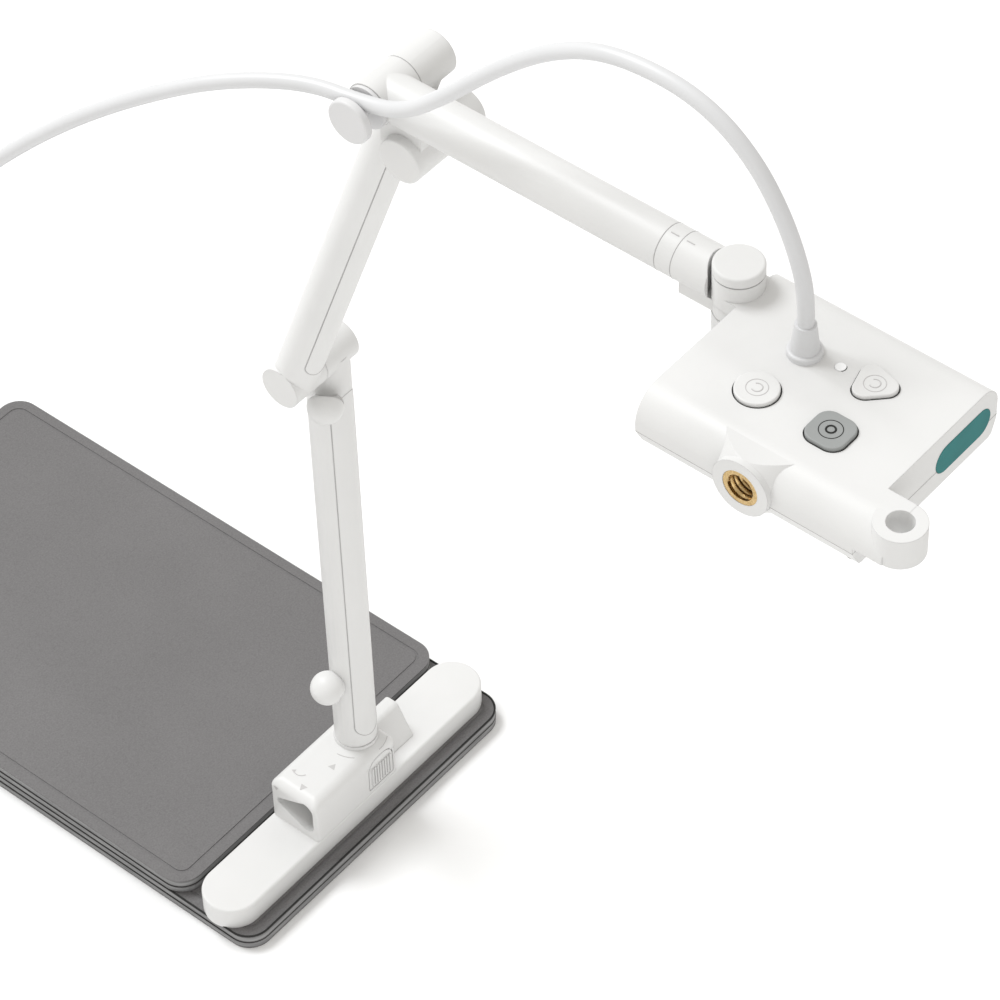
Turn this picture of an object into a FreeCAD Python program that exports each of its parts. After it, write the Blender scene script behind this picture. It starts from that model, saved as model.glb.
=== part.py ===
"""Folding document camera on a weighted bar, with its fold-out board mat.

Sizes are in millimetres and +Z is up. The origin is on the surface it stands on, under the middle of
the base bar. +X runs along the bar, +Y along the mat, and the arm reaches out towards -Y.
"""
import FreeCAD, Part
import math
import os

# Mat: four board panels, folded into two layers of two
MAT_HALF_WIDTH = 52.4
MAT_FAR_Y = 173.0
MAT_LOWER_NEAR_Y = -12.8
MAT_UPPER_NEAR_Y = 10.9
MAT_CORNER_R = 6.5
PANEL_PITCH = 2.405
PANEL_THICK = 2.305
SKIN_THICK = 0.5
RIM_INSET = 3.0
RIM_WIDTH = 0.8
RIM_DEPTH = 0.2
FOLD_BEAD_R = 0.4
FOLD_GAP = 0.05

# Base bar and the steel inside it
BAR_HALF_LENGTH = 53.1
BAR_HALF_WIDTH = 8.2
BAR_BOTTOM_Z = PANEL_PITCH + PANEL_THICK
BAR_TOP_Z = 11.88
BAR_WALL = 1.6
BOTTOM_PLATE_THICK = 1.2
BASE_SCREW_X = (-47.0, 0.0, 47.0)
BASE_BOSS_R = 2.6
BASE_SCREW_R = 1.2
BASE_HEAD_R = 2.1

# Tower on the bar
TOWER_X = (-19.7, 12.5)
TOWER_HALF_WIDTH = 8.15
TOWER_TOP_Z = 26.9
TOWER_FRONT_FILLET = 2.9
WEDGE_END_X = 24.3
STORAGE_DEPTH = 16.0
STORAGE_CORNERS = ((7.9, 19.55), (-6.8, 12.9), (-6.8, 26.2))
STORAGE_RADII = (1.4, 2.6, 2.6)
POST_X = 6.15
SPIGOT_REACH = 3.5
SPIGOT_CORNER_R = 2.2
SPIGOT_PLAY = 0.12
SPIGOT_BOTTOM_Z = 12.2
FOOT_FLANGE_R = 6.0
FOOT_FLANGE_TOP_Z = 28.1
SPINDLE_R = 3.8
SPINDLE_TOP_Z = 46.0

# Latch tongue in the tower's front
LATCH_X = (1.6, 11.0)
LATCH_Z = (13.4, 24.0)
LATCH_Y = (-8.1, -7.0)
LATCH_PLAY = 0.25
LATCH_RIB = 0.5
LATCH_RIBS = 8
LATCH_RIB_Z = (14.3, 21.4)
LATCH_AXIS_Z = 22.2
LATCH_POCKET_Y = -5.95
TRUNNION_R = 0.5

# Arm tubes and elbows; every elbow axis runs along X
POST_R = 5.75
POST_BORE_R = 3.85
POST_BOTTOM_Z = 28.2
KNUCKLE_R = 5.6
ELBOW_1_Z = 172.85
ELBOW_2 = (-46.05, 298.0)
POST_LAYER = (0.45, 11.9)
MID_LAYER = (-10.85, 0.35)
UPPER_LAYER = (-22.2, -11.0)
STRIP_HALF_WIDTH = 4.25
STRIP_DEPTH = 1.25
STRIP_PLAY = 0.05
POST_STRIP_Z = (31.7, 161.0)
MID_STRIP_ENDS = (9.0, 9.0)
PIN_R = 2.0
PIN_PLAY = 0.04
PIN_HEAD_R = 3.4
CAP_R = 4.4
WASHER_R = 4.2
WASHER_THICK = 0.7
MID_R = 5.6
UPPER_R = 5.5
UPPER_BORE_R = 4.0
STOP_BARREL = (-54.0, 286.2)
STOP_BARREL_R = 5.7
STOP_BARREL_X = (-22.3, 0.4)

# Cable, the hooks that it winds round, and its guide on elbow 2
CABLE_R = 1.8
HOOK_R = 4.6
HOOK_BITE = 1.6
HOOK_CHANNEL = 3.9
LOWER_HOOK = (176.0, 53.4)
UPPER_HOOK = (216.0, 162.0)
GUIDE_FLANGE_R = 5.5
GUIDE_CORE_R = 1.4
GUIDE_X = (-29.3, -27.5, -23.2, -22.25)

# Wrist and yaw hinge
WRIST_RING_Y = (-123.4, -127.6)
WRIST_SEAM = 0.1
WRIST_SHAFT_R = 3.9
WRIST_SHAFT_BORE_R = 2.4
WRIST_SHAFT_Y = (-103.6, -130.6)
YAW = (-16.7, -141.4)
YAW_LUG_R = 5.6
YAW_PIN_R = 1.8
TONGUE_Z = (291.2, 294.4)
TONGUE_R = 5.4
TONGUE_NECK = 3.9
FORK_ROOT_TOP_Z = 297.0
FORK_GAP = 0.8
LUG_TOP_Z = 301.9
HINGE_CAP_Z = (302.2, 304.5)

# Camera head
HEAD_X = (-55.35, -6.56)
HEAD_Y = (-199.1, -145.0)
HEAD_Z = (283.8, 298.1)
HEAD_LEFT_R = 7.15
HEAD_RIGHT_R = 5.4
HEAD_WALL = 1.6
HEAD_SPLIT_Z = 288.8
BUTTON_TOP_Z = 299.0
BUTTON_FLANGE_Z = (295.3, 296.3)
BUTTON_PLAY = 0.2
BUTTON_TRAVEL = 0.5
ROUND_BUTTON = (-38.5, -162.7)
ROUND_BUTTON_R = 4.75
SQUARE_BUTTON = (-38.7, -181.2)
SQUARE_BUTTON_HALF = 4.65
SQUARE_BUTTON_CORNER = 3.1
TRIANGLE_BUTTON = (-22.8, -180.2)
TRIANGLE_REACH = 2.5
TRIANGLE_CORNER = 2.6
TRIANGLE_TURN = 45.0
LED = (-22.9, -171.9)
LED_R = 1.2
TRIPOD = (-172.3, 291.0)
TRIPOD_FACE_X = -56.5
TRIPOD_BOSS_R = 6.9
TRIPOD_FLARE_R = 11.5
TRIPOD_FLARE_LENGTH = 6.0
INSERT_R = 4.33
INSERT_THREAD_R = 3.175
INSERT_LENGTH = 7.0
RING = (-49.5, -206.1)
RING_R = 5.6
RING_HOLE_R = 2.95
RING_BOTTOM_Z = 290.4
RING_ARM_X = -43.9
WINDOW_X = (-27.5, -8.9)
WINDOW_Z = (286.8, 293.9)
CABLE_EXIT = (-24.1, -163.8)
CABLE_EXIT_Z = 306.4
BOARD_Z = (290.4, 291.6)
LENS = (-31.0, -172.0)
HEAD_BOSSES = ((-45.8, -193.0), (-12.6, -193.0), (-45.8, -150.6), (-12.6, -157.0))

# The cable's route, from the head over the guide and down to the floor beside the mat
ROUTE = (
    (-24.1, -163.8, 306.4), (-24.1, -163.8, 314.0), (-24.3, -161.4, 323.8), (-24.5, -157.0, 334.0),
    (-24.7, -150.6, 343.4), (-24.9, -141.4, 350.6), (-25.0, -129.5, 353.6), (-25.1, -113.0, 352.0),
    (-25.1, -98.6, 344.0), (-25.0, -84.4, 331.2), (-24.9, -71.0, 317.0), (-24.9, -58.2, 304.6),
    (-25.2, -46.2, 301.6), (-25.9, -34.4, 300.4), (-29.2, -22.6, 297.8), (-34.6, -9.2, 293.2),
    (-40.3, 5.2, 285.2), (-45.9, 19.0, 275.8), (-51.3, 32.6, 264.2), (-57.6, 46.6, 249.6),
    (-64.6, 60.0, 233.2), (-72.0, 72.0, 212.6), (-79.2, 83.4, 184.0), (-85.6, 92.6, 150.6),
    (-91.0, 100.4, 114.0), (-97.0, 107.0, 78.0), (-104.4, 113.0, 46.0), (-113.6, 119.4, 20.6),
    (-122.6, 127.0, 7.2),
)
RUN_ENDS = (6, 12, 16, 19)
PLUG_LEAD = ((-119.0, 134.0, 3.6), (-117.8, 146.0, 4.0), (-117.8, 156.0, 4.0))
COIL_CENTRE = (-98.0, 128.0)
COIL_MID_R = 20.0
COIL_HALF_WIDTH = 5.6
COIL_HEIGHT = 11.2
TIE_THICK = 0.8
TIE_SWEEP = 16.0
TIE_BEARING = 40.0
PLUG_X = -117.8
PLUG_Y = (156.0, 180.0, 198.0)
PLUG_HALF_WIDTH = 7.8
PLUG_HEIGHT = 8.0
SHELL_HALF_WIDTH = 6.0
SHELL_HEIGHT = 4.5
SHELL_WALL = 0.35
SHELL_TONGUE_Z = 2.2


def vector(point):
    return FreeCAD.Vector(*point)


def box(x, y, z):
    """A box between two values on each axis."""
    low = [min(pair) for pair in (x, y, z)]
    size = [abs(pair[1] - pair[0]) for pair in (x, y, z)]
    return Part.makeBox(*size, vector(low))


def rod(radius, start, end):
    """A cylinder from one point to another."""
    along = vector(end) - vector(start)
    return Part.makeCylinder(radius, along.Length, vector(start), along)


def cross_rod(radius, y, z, x):
    """A cylinder along X between two x values."""
    return rod(radius, (min(x), y, z), (max(x), y, z))


def upright(radius, centre, z):
    """A cylinder along Z at a point in plan, between two heights."""
    return rod(radius, (*centre, min(z)), (*centre, max(z)))


def outline(corners, radii):
    """A closed wire through corners, each rounded with its own radius."""
    count = len(corners)
    bends = []
    for index, radius in enumerate(radii):
        here = vector(corners[index])
        back = (vector(corners[index - 1]) - here).normalize()
        ahead = (vector(corners[(index + 1) % count]) - here).normalize()
        half = back.getAngle(ahead) / 2
        middle = (back + ahead).normalize()
        reach = radius / math.tan(half)
        top = here + middle * (radius / math.sin(half) - radius)
        bends.append((here + back * reach, top, here + ahead * reach))
    edges = []
    for index, (first, top, last) in enumerate(bends):
        edges.append(Part.Arc(first, top, last).toShape())
        following = bends[(index + 1) % count][0]
        if (following - last).Length > 1e-6:
            edges.append(Part.LineSegment(last, following).toShape())
    return Part.Wire(edges)


def prism(corners, radii, push):
    """A solid on a rounded outline, pushed along a vector."""
    return Part.Face(outline(corners, radii)).extrude(vector(push))


def plate(x, y, z, radius):
    """A flat plate with rounded corners in plan."""
    corners = [(x[0], y[0], z[0]), (x[1], y[0], z[0]), (x[1], y[1], z[0]), (x[0], y[1], z[0])]
    return prism(corners, [radius] * 4, (0, 0, z[1] - z[0]))


def round_edges(shape, radius, chosen):
    """Fillets the edges whose centre of mass passes a test."""
    edges = [edge for edge in shape.Edges if chosen(edge.CenterOfMass)]
    return shape.makeFillet(radius, edges)


def fuse(shapes):
    return shapes[0].multiFuse(shapes[1:]).removeSplitter()


def turned(shape, about, axis, degrees):
    """The shape turned about an axis through a point."""
    moved = shape.copy()
    moved.rotate(vector(about), vector(axis), degrees)
    return moved


# Mat

def panel_outline(near_y, inset, z):
    x = (-MAT_HALF_WIDTH + inset, MAT_HALF_WIDTH - inset)
    return plate(x, (near_y + inset, MAT_FAR_Y - inset), z, MAT_CORNER_R - inset)


def rim_groove(near_y, z):
    """The pressed line that runs round a skin, a little in from its edge."""
    outer = panel_outline(near_y, RIM_INSET, z)
    return outer.cut(panel_outline(near_y, RIM_INSET + RIM_WIDTH, z))


def mat_panel(near_y, layer):
    """One panel: a stiff board core between an upper and a lower skin."""
    bottom = layer * PANEL_PITCH
    top = bottom + PANEL_THICK
    core = panel_outline(near_y, 0.0, (bottom + SKIN_THICK, top - SKIN_THICK))
    lower = panel_outline(near_y, 0.0, (bottom, bottom + SKIN_THICK))
    upper = panel_outline(near_y, 0.0, (top - SKIN_THICK, top))
    lower = lower.cut(rim_groove(near_y, (bottom, bottom + RIM_DEPTH)))
    upper = upper.cut(rim_groove(near_y, (top - RIM_DEPTH, top)))
    return core, Part.Compound([lower, upper])


def fold_z(layer):
    """The height of the fold between a panel and the one above it."""
    return (layer + 1) * PANEL_PITCH - (PANEL_PITCH - PANEL_THICK) / 2


def side_bead(near_y, layer):
    x = MAT_HALF_WIDTH + FOLD_GAP + FOLD_BEAD_R
    z = fold_z(layer)
    return rod(FOLD_BEAD_R, (x, near_y + MAT_CORNER_R, z), (x, MAT_FAR_Y - MAT_CORNER_R, z))


def end_bead():
    y = MAT_FAR_Y + FOLD_GAP + FOLD_BEAD_R
    x = MAT_HALF_WIDTH - MAT_CORNER_R
    return rod(FOLD_BEAD_R, (-x, y, fold_z(1)), (x, y, fold_z(1)))


def mat_nodes():
    nodes = {}
    near = {4: MAT_LOWER_NEAR_Y, 3: MAT_LOWER_NEAR_Y, 2: MAT_UPPER_NEAR_Y, 1: MAT_UPPER_NEAR_Y}
    for number, near_y in near.items():
        core, skins = mat_panel(near_y, 4 - number)
        nodes[f"mat_board_{number}"] = core
        nodes[f"mat_skins_{number}"] = skins
    nodes["mat_fold_strips_lower"] = Part.Compound([side_bead(MAT_LOWER_NEAR_Y, 0), end_bead()])
    nodes["mat_fold_strip_upper"] = side_bead(MAT_UPPER_NEAR_Y, 2)
    return nodes


# Base bar

def stadium(inset, z):
    """The bar's full-round outline, inset all round."""
    half_length = BAR_HALF_LENGTH - inset
    half_width = BAR_HALF_WIDTH - inset
    return plate((-half_length, half_length), (-half_width, half_width), z, half_width - 0.001)


def bar_shell():
    shell = stadium(0.0, (BAR_BOTTOM_Z, BAR_TOP_Z))
    shell = round_edges(shell, 0.6, lambda at: at.z > BAR_TOP_Z - 0.01)
    shell = shell.cut(stadium(BAR_WALL, (BAR_BOTTOM_Z, BAR_TOP_Z - BAR_WALL)))
    plate_top = BAR_BOTTOM_Z + BOTTOM_PLATE_THICK
    bosses = [upright(BASE_BOSS_R, (x, 0), (plate_top, BAR_TOP_Z - BAR_WALL)) for x in BASE_SCREW_X]
    shell = fuse([shell, *bosses])
    for x in BASE_SCREW_X:
        shell = shell.cut(upright(BASE_SCREW_R, (x, 0), (plate_top, BAR_TOP_Z - BAR_WALL)))
    return shell


def bottom_plate():
    z = (BAR_BOTTOM_Z, BAR_BOTTOM_Z + BOTTOM_PLATE_THICK)
    cover = stadium(BAR_WALL + 0.1, z)
    for x in BASE_SCREW_X:
        cover = cover.cut(upright(BASE_SCREW_R + 0.1, (x, 0), z))
        cover = cover.cut(upright(BASE_HEAD_R + 0.15, (x, 0), (z[0], z[0] + 0.8)))
    return cover


def steel_weights():
    """Two steel bars, one in each half of the base."""
    z = (BAR_BOTTOM_Z + BOTTOM_PLATE_THICK, BAR_TOP_Z - BAR_WALL - 0.1)
    half_width = BAR_HALF_WIDTH - BAR_WALL - 0.3
    right = plate((4.0, 43.2), (-half_width, half_width), z, 0.8)
    left = plate((-43.2, -4.0), (-half_width, half_width), z, 0.8)
    return Part.Compound([right, left])


def plate_screws():
    screws = []
    for x in BASE_SCREW_X:
        head = upright(BASE_HEAD_R, (x, 0), (BAR_BOTTOM_Z + 0.05, BAR_BOTTOM_Z + 0.8))
        shank = upright(BASE_SCREW_R, (x, 0), (BAR_BOTTOM_Z + 0.8, BAR_TOP_Z - BAR_WALL - 0.4))
        screws.append(fuse([head, shank]))
    return Part.Compound(screws)


# Tower and latch

def spigot_prism(play, z):
    """A rounded triangle in plan, the shape that keys the post's foot into the tower."""
    corner_r = SPIGOT_CORNER_R + play
    reach = SPIGOT_REACH + 2 * corner_r
    corners = []
    for degrees in (180, 300, 60):
        angle = math.radians(degrees)
        corners.append((POST_X + reach * math.cos(angle), reach * math.sin(angle), z[0]))
    return prism(corners, [corner_r] * 3, (0, 0, z[1] - z[0]))


def latch_plate(play, y):
    """The tongue's outline: square at the bottom, arched at the top."""
    x = (LATCH_X[0] - play, LATCH_X[1] + play)
    z = (LATCH_Z[0] - play, LATCH_Z[1] + play)
    corners = [(x[0], y[0], z[0]), (x[1], y[0], z[0]), (x[1], y[0], z[1]), (x[0], y[0], z[1])]
    return prism(corners, [0.3 + play, 0.3 + play, 3.8, 3.8], (0, y[1] - y[0], 0))


def latch_tongue():
    tongue = latch_plate(0.0, LATCH_Y)
    ribs = []
    y = (LATCH_Y[0] - LATCH_RIB, LATCH_Y[0])
    for index in range(LATCH_RIBS):
        x = LATCH_X[0] + 1.0 + index
        ribs.append(box((x, x + LATCH_RIB), y, LATCH_RIB_Z))
    y = (LATCH_Y[0] + LATCH_Y[1]) / 2
    axle = cross_rod(TRUNNION_R, y, LATCH_AXIS_Z, (LATCH_X[0] - 0.8, LATCH_X[1] + 0.8))
    return fuse([tongue, axle, *ribs])


def wedge():
    """The ridge behind the post that carries the tower's end down to the bar."""
    x = TOWER_X[1] - 1.0
    corners = [(x, -3.9, BAR_TOP_Z), (x, 8.1, BAR_TOP_Z), (x, 5.4, 21.9), (x, 1.4, 21.9)]
    return prism(corners, [0.2, 0.2, 1.9, 1.9], (WEDGE_END_X - x, 0, 0))


def tower_housing():
    x = TOWER_X
    y = (-TOWER_HALF_WIDTH, TOWER_HALF_WIDTH)
    tower = plate(x, y, (BAR_TOP_Z, TOWER_TOP_Z), 1.2)
    tower = round_edges(
        tower, TOWER_FRONT_FILLET, lambda at: at.z > TOWER_TOP_Z - 0.01 and at.y < y[0] + 0.01,
    )
    tower = fuse([tower, wedge()])
    tower = tower.cut(spigot_prism(SPIGOT_PLAY, (BAR_TOP_Z, TOWER_TOP_Z)))
    corners = [(x[0], *corner) for corner in STORAGE_CORNERS]
    tower = tower.cut(prism(corners, STORAGE_RADII, (STORAGE_DEPTH, 0, 0)))
    tower = tower.cut(latch_plate(LATCH_PLAY, (-TOWER_HALF_WIDTH - 1.0, LATCH_POCKET_Y)))
    trunnion_y = (LATCH_Y[0] + LATCH_Y[1]) / 2
    trunnion_x = (LATCH_X[0] - 0.9, LATCH_X[1] + 0.9)
    return tower.cut(cross_rod(TRUNNION_R + 0.05, trunnion_y, LATCH_AXIS_Z, trunnion_x))


def foot_spigot():
    """The keyed foot, its flange, and the spindle that the post turns on."""
    key = spigot_prism(0.0, (SPIGOT_BOTTOM_Z, TOWER_TOP_Z))
    flange = upright(FOOT_FLANGE_R, (POST_X, 0), (TOWER_TOP_Z, FOOT_FLANGE_TOP_Z))
    spindle = upright(SPINDLE_R, (POST_X, 0), (FOOT_FLANGE_TOP_Z, SPINDLE_TOP_Z))
    return fuse([key, flange, spindle])


# Arm tubes

def strip_channel(z, x, play):
    """The long cut with rounded ends that a cover strip lies in, through the tube's -Y side."""
    half = STRIP_HALF_WIDTH + play
    low, high = z[0] - play, z[1] + play
    corners = [(x - half, 0, low), (x + half, 0, low), (x + half, 0, high), (x - half, 0, high)]
    return prism(corners, [half - 0.001] * 4, (0, -2 * POST_R, 0))


def strip_ring(radius, depth, x, z):
    """The tube's outer skin, of a depth, between two heights."""
    return upright(radius, (x, 0), z).cut(upright(radius - depth, (x, 0), z))


def cover_strip(radius, x, z):
    return strip_ring(radius, STRIP_DEPTH, x, z).common(strip_channel(z, x, 0.0))


def strip_recess(radius, x, z):
    longer = (z[0] - 1.0, z[1] + 1.0)
    ring = strip_ring(radius + 1.0, STRIP_DEPTH + STRIP_PLAY + 1.0, x, longer)
    return ring.common(strip_channel(z, x, STRIP_PLAY))


def post_tube():
    tube = upright(POST_R, (POST_X, 0), (POST_BOTTOM_Z, ELBOW_1_Z))
    knuckle = cross_rod(KNUCKLE_R, 0, ELBOW_1_Z, POST_LAYER)
    tube = tube.common(box((POST_LAYER[0], POST_LAYER[1]), (-9, 9), (0, ELBOW_1_Z)))
    post = fuse([tube, knuckle])
    post = post.cut(upright(POST_BORE_R, (POST_X, 0), (POST_BOTTOM_Z, ELBOW_1_Z - 12.0)))
    post = post.cut(strip_recess(POST_R, POST_X, POST_STRIP_Z))
    post = post.cut(cross_rod(PIN_R + PIN_PLAY, 0, ELBOW_1_Z, (POST_LAYER[0], 9.9)))
    post = post.cut(cross_rod(PIN_HEAD_R + 0.1, 0, ELBOW_1_Z, (9.9, 10.95)))
    return post.cut(cross_rod(CAP_R + 0.05, 0, ELBOW_1_Z, (10.95, POST_LAYER[1])))


def elbow_pin(x_head, x_tip, y, z):
    """A shoulder pin: a short head and a long shank."""
    inward = math.copysign(1.0, x_tip - x_head)
    shoulder = x_head + 0.9 * inward
    head = cross_rod(PIN_HEAD_R, y, z, (x_head, shoulder))
    shank = cross_rod(PIN_R, y, z, (shoulder, x_tip))
    return fuse([head, shank])


def washer(y, z, x):
    return cross_rod(WASHER_R, y, z, x).cut(cross_rod(PIN_R + 0.1, y, z, x))


def mid_length():
    return math.hypot(ELBOW_2[0], ELBOW_2[1] - ELBOW_1_Z)


def lean_degrees():
    return math.degrees(math.atan2(-ELBOW_2[0], ELBOW_2[1] - ELBOW_1_Z))


def leaned(shape):
    """Takes a shape drawn upright over the floor's centre line to its place on elbow 1."""
    moved = shape.copy()
    moved.translate(vector((0, 0, ELBOW_1_Z)))
    return turned(moved, (0, 0, ELBOW_1_Z), (1, 0, 0), lean_degrees())


def mid_arm_tube():
    """The tube between the elbows, drawn upright from its lower elbow at the origin."""
    x = sum(MID_LAYER) / 2
    length = mid_length()
    lower = cross_rod(KNUCKLE_R, 0, 0, MID_LAYER)
    upper = cross_rod(KNUCKLE_R, 0, length, MID_LAYER)
    arm = fuse([upright(MID_R, (x, 0), (0, length)), lower, upper])
    arm = arm.cut(upright(POST_BORE_R, (x, 0), (10.0, length - 10.0)))
    arm = arm.cut(strip_recess(MID_R, x, mid_strip_span()))
    recess = (MID_LAYER[1] - WASHER_THICK, MID_LAYER[1])
    arm = arm.cut(cross_rod(WASHER_R + 0.1, 0, 0, recess))
    arm = arm.cut(cross_rod(PIN_R + PIN_PLAY, 0, 0, (-9.5, MID_LAYER[1])))
    far_recess = (MID_LAYER[0], MID_LAYER[0] + WASHER_THICK)
    arm = arm.cut(cross_rod(WASHER_R + 0.1, 0, length, far_recess))
    arm = arm.cut(cross_rod(PIN_R + PIN_PLAY, 0, length, (MID_LAYER[0], -1.2)))
    return leaned(arm)


def mid_strip_span():
    return (MID_STRIP_ENDS[0], mid_length() - MID_STRIP_ENDS[1])


def mid_cover_strip():
    x = sum(MID_LAYER) / 2
    return leaned(cover_strip(MID_R, x, mid_strip_span()))


def winding_hook(place, tip):
    """A domed hook on the post, at a bearing and height; its tip points up (1) or down (-1)."""
    bearing, height = place
    angle = math.radians(bearing)
    reach = POST_R + HOOK_R - HOOK_BITE
    centre = (POST_X + reach * math.cos(angle), reach * math.sin(angle), height)
    dome = Part.makeSphere(HOOK_R, vector(centre))
    behind_tip = (height + 0.4 * tip, height + 1.2 * HOOK_R * tip)
    hook = dome.cut(upright(POST_R + HOOK_CHANNEL, (POST_X, 0), behind_tip))
    return hook.cut(upright(POST_R + 0.02, (POST_X, 0), (height - HOOK_R, height + HOOK_R)))


# Upper arm, guide and wrist

def upper_axis_x():
    return sum(UPPER_LAYER) / 2


def along_arm(radius, y):
    """A cylinder on the upper arm's axis between two y values."""
    x = upper_axis_x()
    return rod(radius, (x, max(y), ELBOW_2[1]), (x, min(y), ELBOW_2[1]))


def upper_arm_tube():
    """The horizontal tube, its elbow knuckle, and the cross barrel that stops on the mid arm."""
    tube = along_arm(UPPER_R, (ELBOW_2[0], WRIST_RING_Y[0]))
    knuckle = cross_rod(KNUCKLE_R, *ELBOW_2, UPPER_LAYER)
    barrel = cross_rod(STOP_BARREL_R, *STOP_BARREL, STOP_BARREL_X)
    ends = (STOP_BARREL_X[0] + 0.01, STOP_BARREL_X[1] - 0.01)
    barrel = round_edges(barrel, 0.5, lambda at: at.x < ends[0] or at.x > ends[1])
    web = box((UPPER_LAYER[0] + 2.2, UPPER_LAYER[1] - 0.6), (-58.4, -47.0), (287.0, 297.0))
    arm = fuse([tube, knuckle, barrel, web])
    arm = arm.cut(along_arm(UPPER_BORE_R, (-62.0, WRIST_RING_Y[0])))
    arm = arm.cut(cross_rod(PIN_R + PIN_PLAY, *ELBOW_2, (-21.2, UPPER_LAYER[1])))
    return arm.cut(cross_rod(PIN_HEAD_R + 0.1, *ELBOW_2, (UPPER_LAYER[0], -21.2)))


def cable_guide_cap():
    """A spool on the elbow's end: the cable lies over its core, between two flanges."""
    outer, groove_out, groove_in, inner = GUIDE_X
    face = cross_rod(GUIDE_FLANGE_R, *ELBOW_2, (outer, groove_out))
    face = round_edges(face, 0.5, lambda at: at.x < outer + 0.01)
    core = cross_rod(GUIDE_CORE_R, *ELBOW_2, (groove_out, groove_in))
    rim = cross_rod(GUIDE_FLANGE_R - 0.2, *ELBOW_2, (groove_in, inner))
    return fuse([face, core, rim])


def wrist_ring():
    y = (WRIST_RING_Y[0] - WRIST_SEAM, WRIST_RING_Y[1])
    return along_arm(UPPER_R, y).cut(along_arm(WRIST_SHAFT_R + 0.05, y))


def wrist_shaft():
    """The hollow shaft inside the upper arm that the fork rolls on."""
    return along_arm(WRIST_SHAFT_R, WRIST_SHAFT_Y).cut(along_arm(WRIST_SHAFT_BORE_R, WRIST_SHAFT_Y))


def wrist_fork():
    """The arm's end piece: a short round body and the tongue that enters the head's hinge."""
    near_y = WRIST_RING_Y[1] - WRIST_SEAM
    body = along_arm(UPPER_R, (near_y, YAW[1] + 4.6))
    body = body.cut(upright(YAW_LUG_R + FORK_GAP, YAW, (280, 310)))
    tongue = upright(TONGUE_R, YAW, TONGUE_Z)
    x = (YAW[0] - TONGUE_NECK, YAW[0] + TONGUE_NECK)
    neck = box(x, (YAW[1], near_y - 1.2), TONGUE_Z)
    root = box(x, (YAW[1] + 7.4, near_y - 1.2), (TONGUE_Z[0], FORK_ROOT_TOP_Z))
    fork = fuse([body, tongue, neck, root])
    fork = fork.cut(along_arm(WRIST_SHAFT_R + 0.05, (near_y, WRIST_SHAFT_Y[1] - 0.1)))
    return fork.cut(upright(YAW_PIN_R, YAW, TONGUE_Z))


def yaw_pin():
    return upright(YAW_PIN_R, YAW, (286.0, HINGE_CAP_Z[0] + 0.8))


def hinge_cap():
    cap = upright(YAW_LUG_R, YAW, HINGE_CAP_Z)
    cap = round_edges(cap, 0.6, lambda at: at.z > HINGE_CAP_Z[1] - 0.01)
    return cap.cut(upright(YAW_PIN_R, YAW, (HINGE_CAP_Z[0], HINGE_CAP_Z[0] + 0.8)))


# Camera head

def head_block(inset, y):
    """The head's section pushed along Y: a full round left side and a smaller round right side."""
    left, right = HEAD_X[0] + inset, HEAD_X[1] - inset
    low, high = HEAD_Z[0] + inset, HEAD_Z[1] - inset
    corners = [
        (left, y[0], high), (right, y[0], high), (right, y[0], low + 4.0), (right - 1.6, y[0], low),
        (left + 2.6, y[0], low), (left, y[0], low + 5.0),
    ]
    radii = [HEAD_LEFT_R - 1.2 * inset, HEAD_RIGHT_R - inset, 2.4, 1.6, 1.4, 2.6]
    return prism(corners, radii, (0, y[1] - y[0], 0))


def window_pill(play, y):
    radius = (WINDOW_Z[1] - WINDOW_Z[0]) / 2 + play
    x = (WINDOW_X[0] - play, WINDOW_X[1] + play)
    z = (WINDOW_Z[0] - play, WINDOW_Z[1] + play)
    corners = [(x[0], y[0], z[0]), (x[1], y[0], z[0]), (x[1], y[0], z[1]), (x[0], y[0], z[1])]
    return prism(corners, [radius - 0.001] * 4, (0, y[1] - y[0], 0))


def head_solid():
    """The head's whole outside with its lugs, before it is split and hollowed."""
    body = head_block(0.0, HEAD_Y)
    arm = head_block(0.0, (RING[1], HEAD_Y[0]))
    arm = arm.common(box((-60, RING_ARM_X), (-210, -199), (RING_BOTTOM_Z, 299)))
    ring = upright(RING_R, RING, (RING_BOTTOM_Z, HEAD_Z[1] - 0.04))
    boss = cross_rod(TRIPOD_BOSS_R, *TRIPOD, (TRIPOD_FACE_X, -47.9))
    flare = Part.makeCone(TRIPOD_BOSS_R, TRIPOD_FLARE_R, TRIPOD_FLARE_LENGTH, *tripod_axis())
    flare = flare.common(box((-60, 0), (-200, -140), (HEAD_Z[0] + 0.6, HEAD_Z[1] - 0.2)))
    lug = upright(YAW_LUG_R, YAW, (285.0, LUG_TOP_Z))
    bridge = box((YAW[0] - YAW_LUG_R, YAW[0] + YAW_LUG_R), (YAW[1], HEAD_Y[1] - 0.5), (285.0, HEAD_Z[1]))
    return fuse([body, arm, ring, boss, flare, lug, bridge])


def tripod_axis():
    """Where the boss's flare begins, and the way that it widens."""
    return vector((TRIPOD_FACE_X + 1.4, *TRIPOD)), vector((1, 0, 0))


def hinge_slot():
    """The slot that the fork's tongue turns in."""
    z = (TONGUE_Z[0] - 0.2, TONGUE_Z[1] + 0.2)
    disc = upright(TONGUE_R + 0.4, YAW, z)
    front = box((YAW[0] - 9.0, YAW[0] + 9.0), (YAW[1] - 0.1, YAW[1] + 8.0), z)
    return fuse([disc, front])


def square_button_outline(play, z):
    half = SQUARE_BUTTON_HALF + play
    x = (SQUARE_BUTTON[0] - half, SQUARE_BUTTON[0] + half)
    y = (SQUARE_BUTTON[1] - half, SQUARE_BUTTON[1] + half)
    return plate(x, y, z, SQUARE_BUTTON_CORNER + play)


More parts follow.
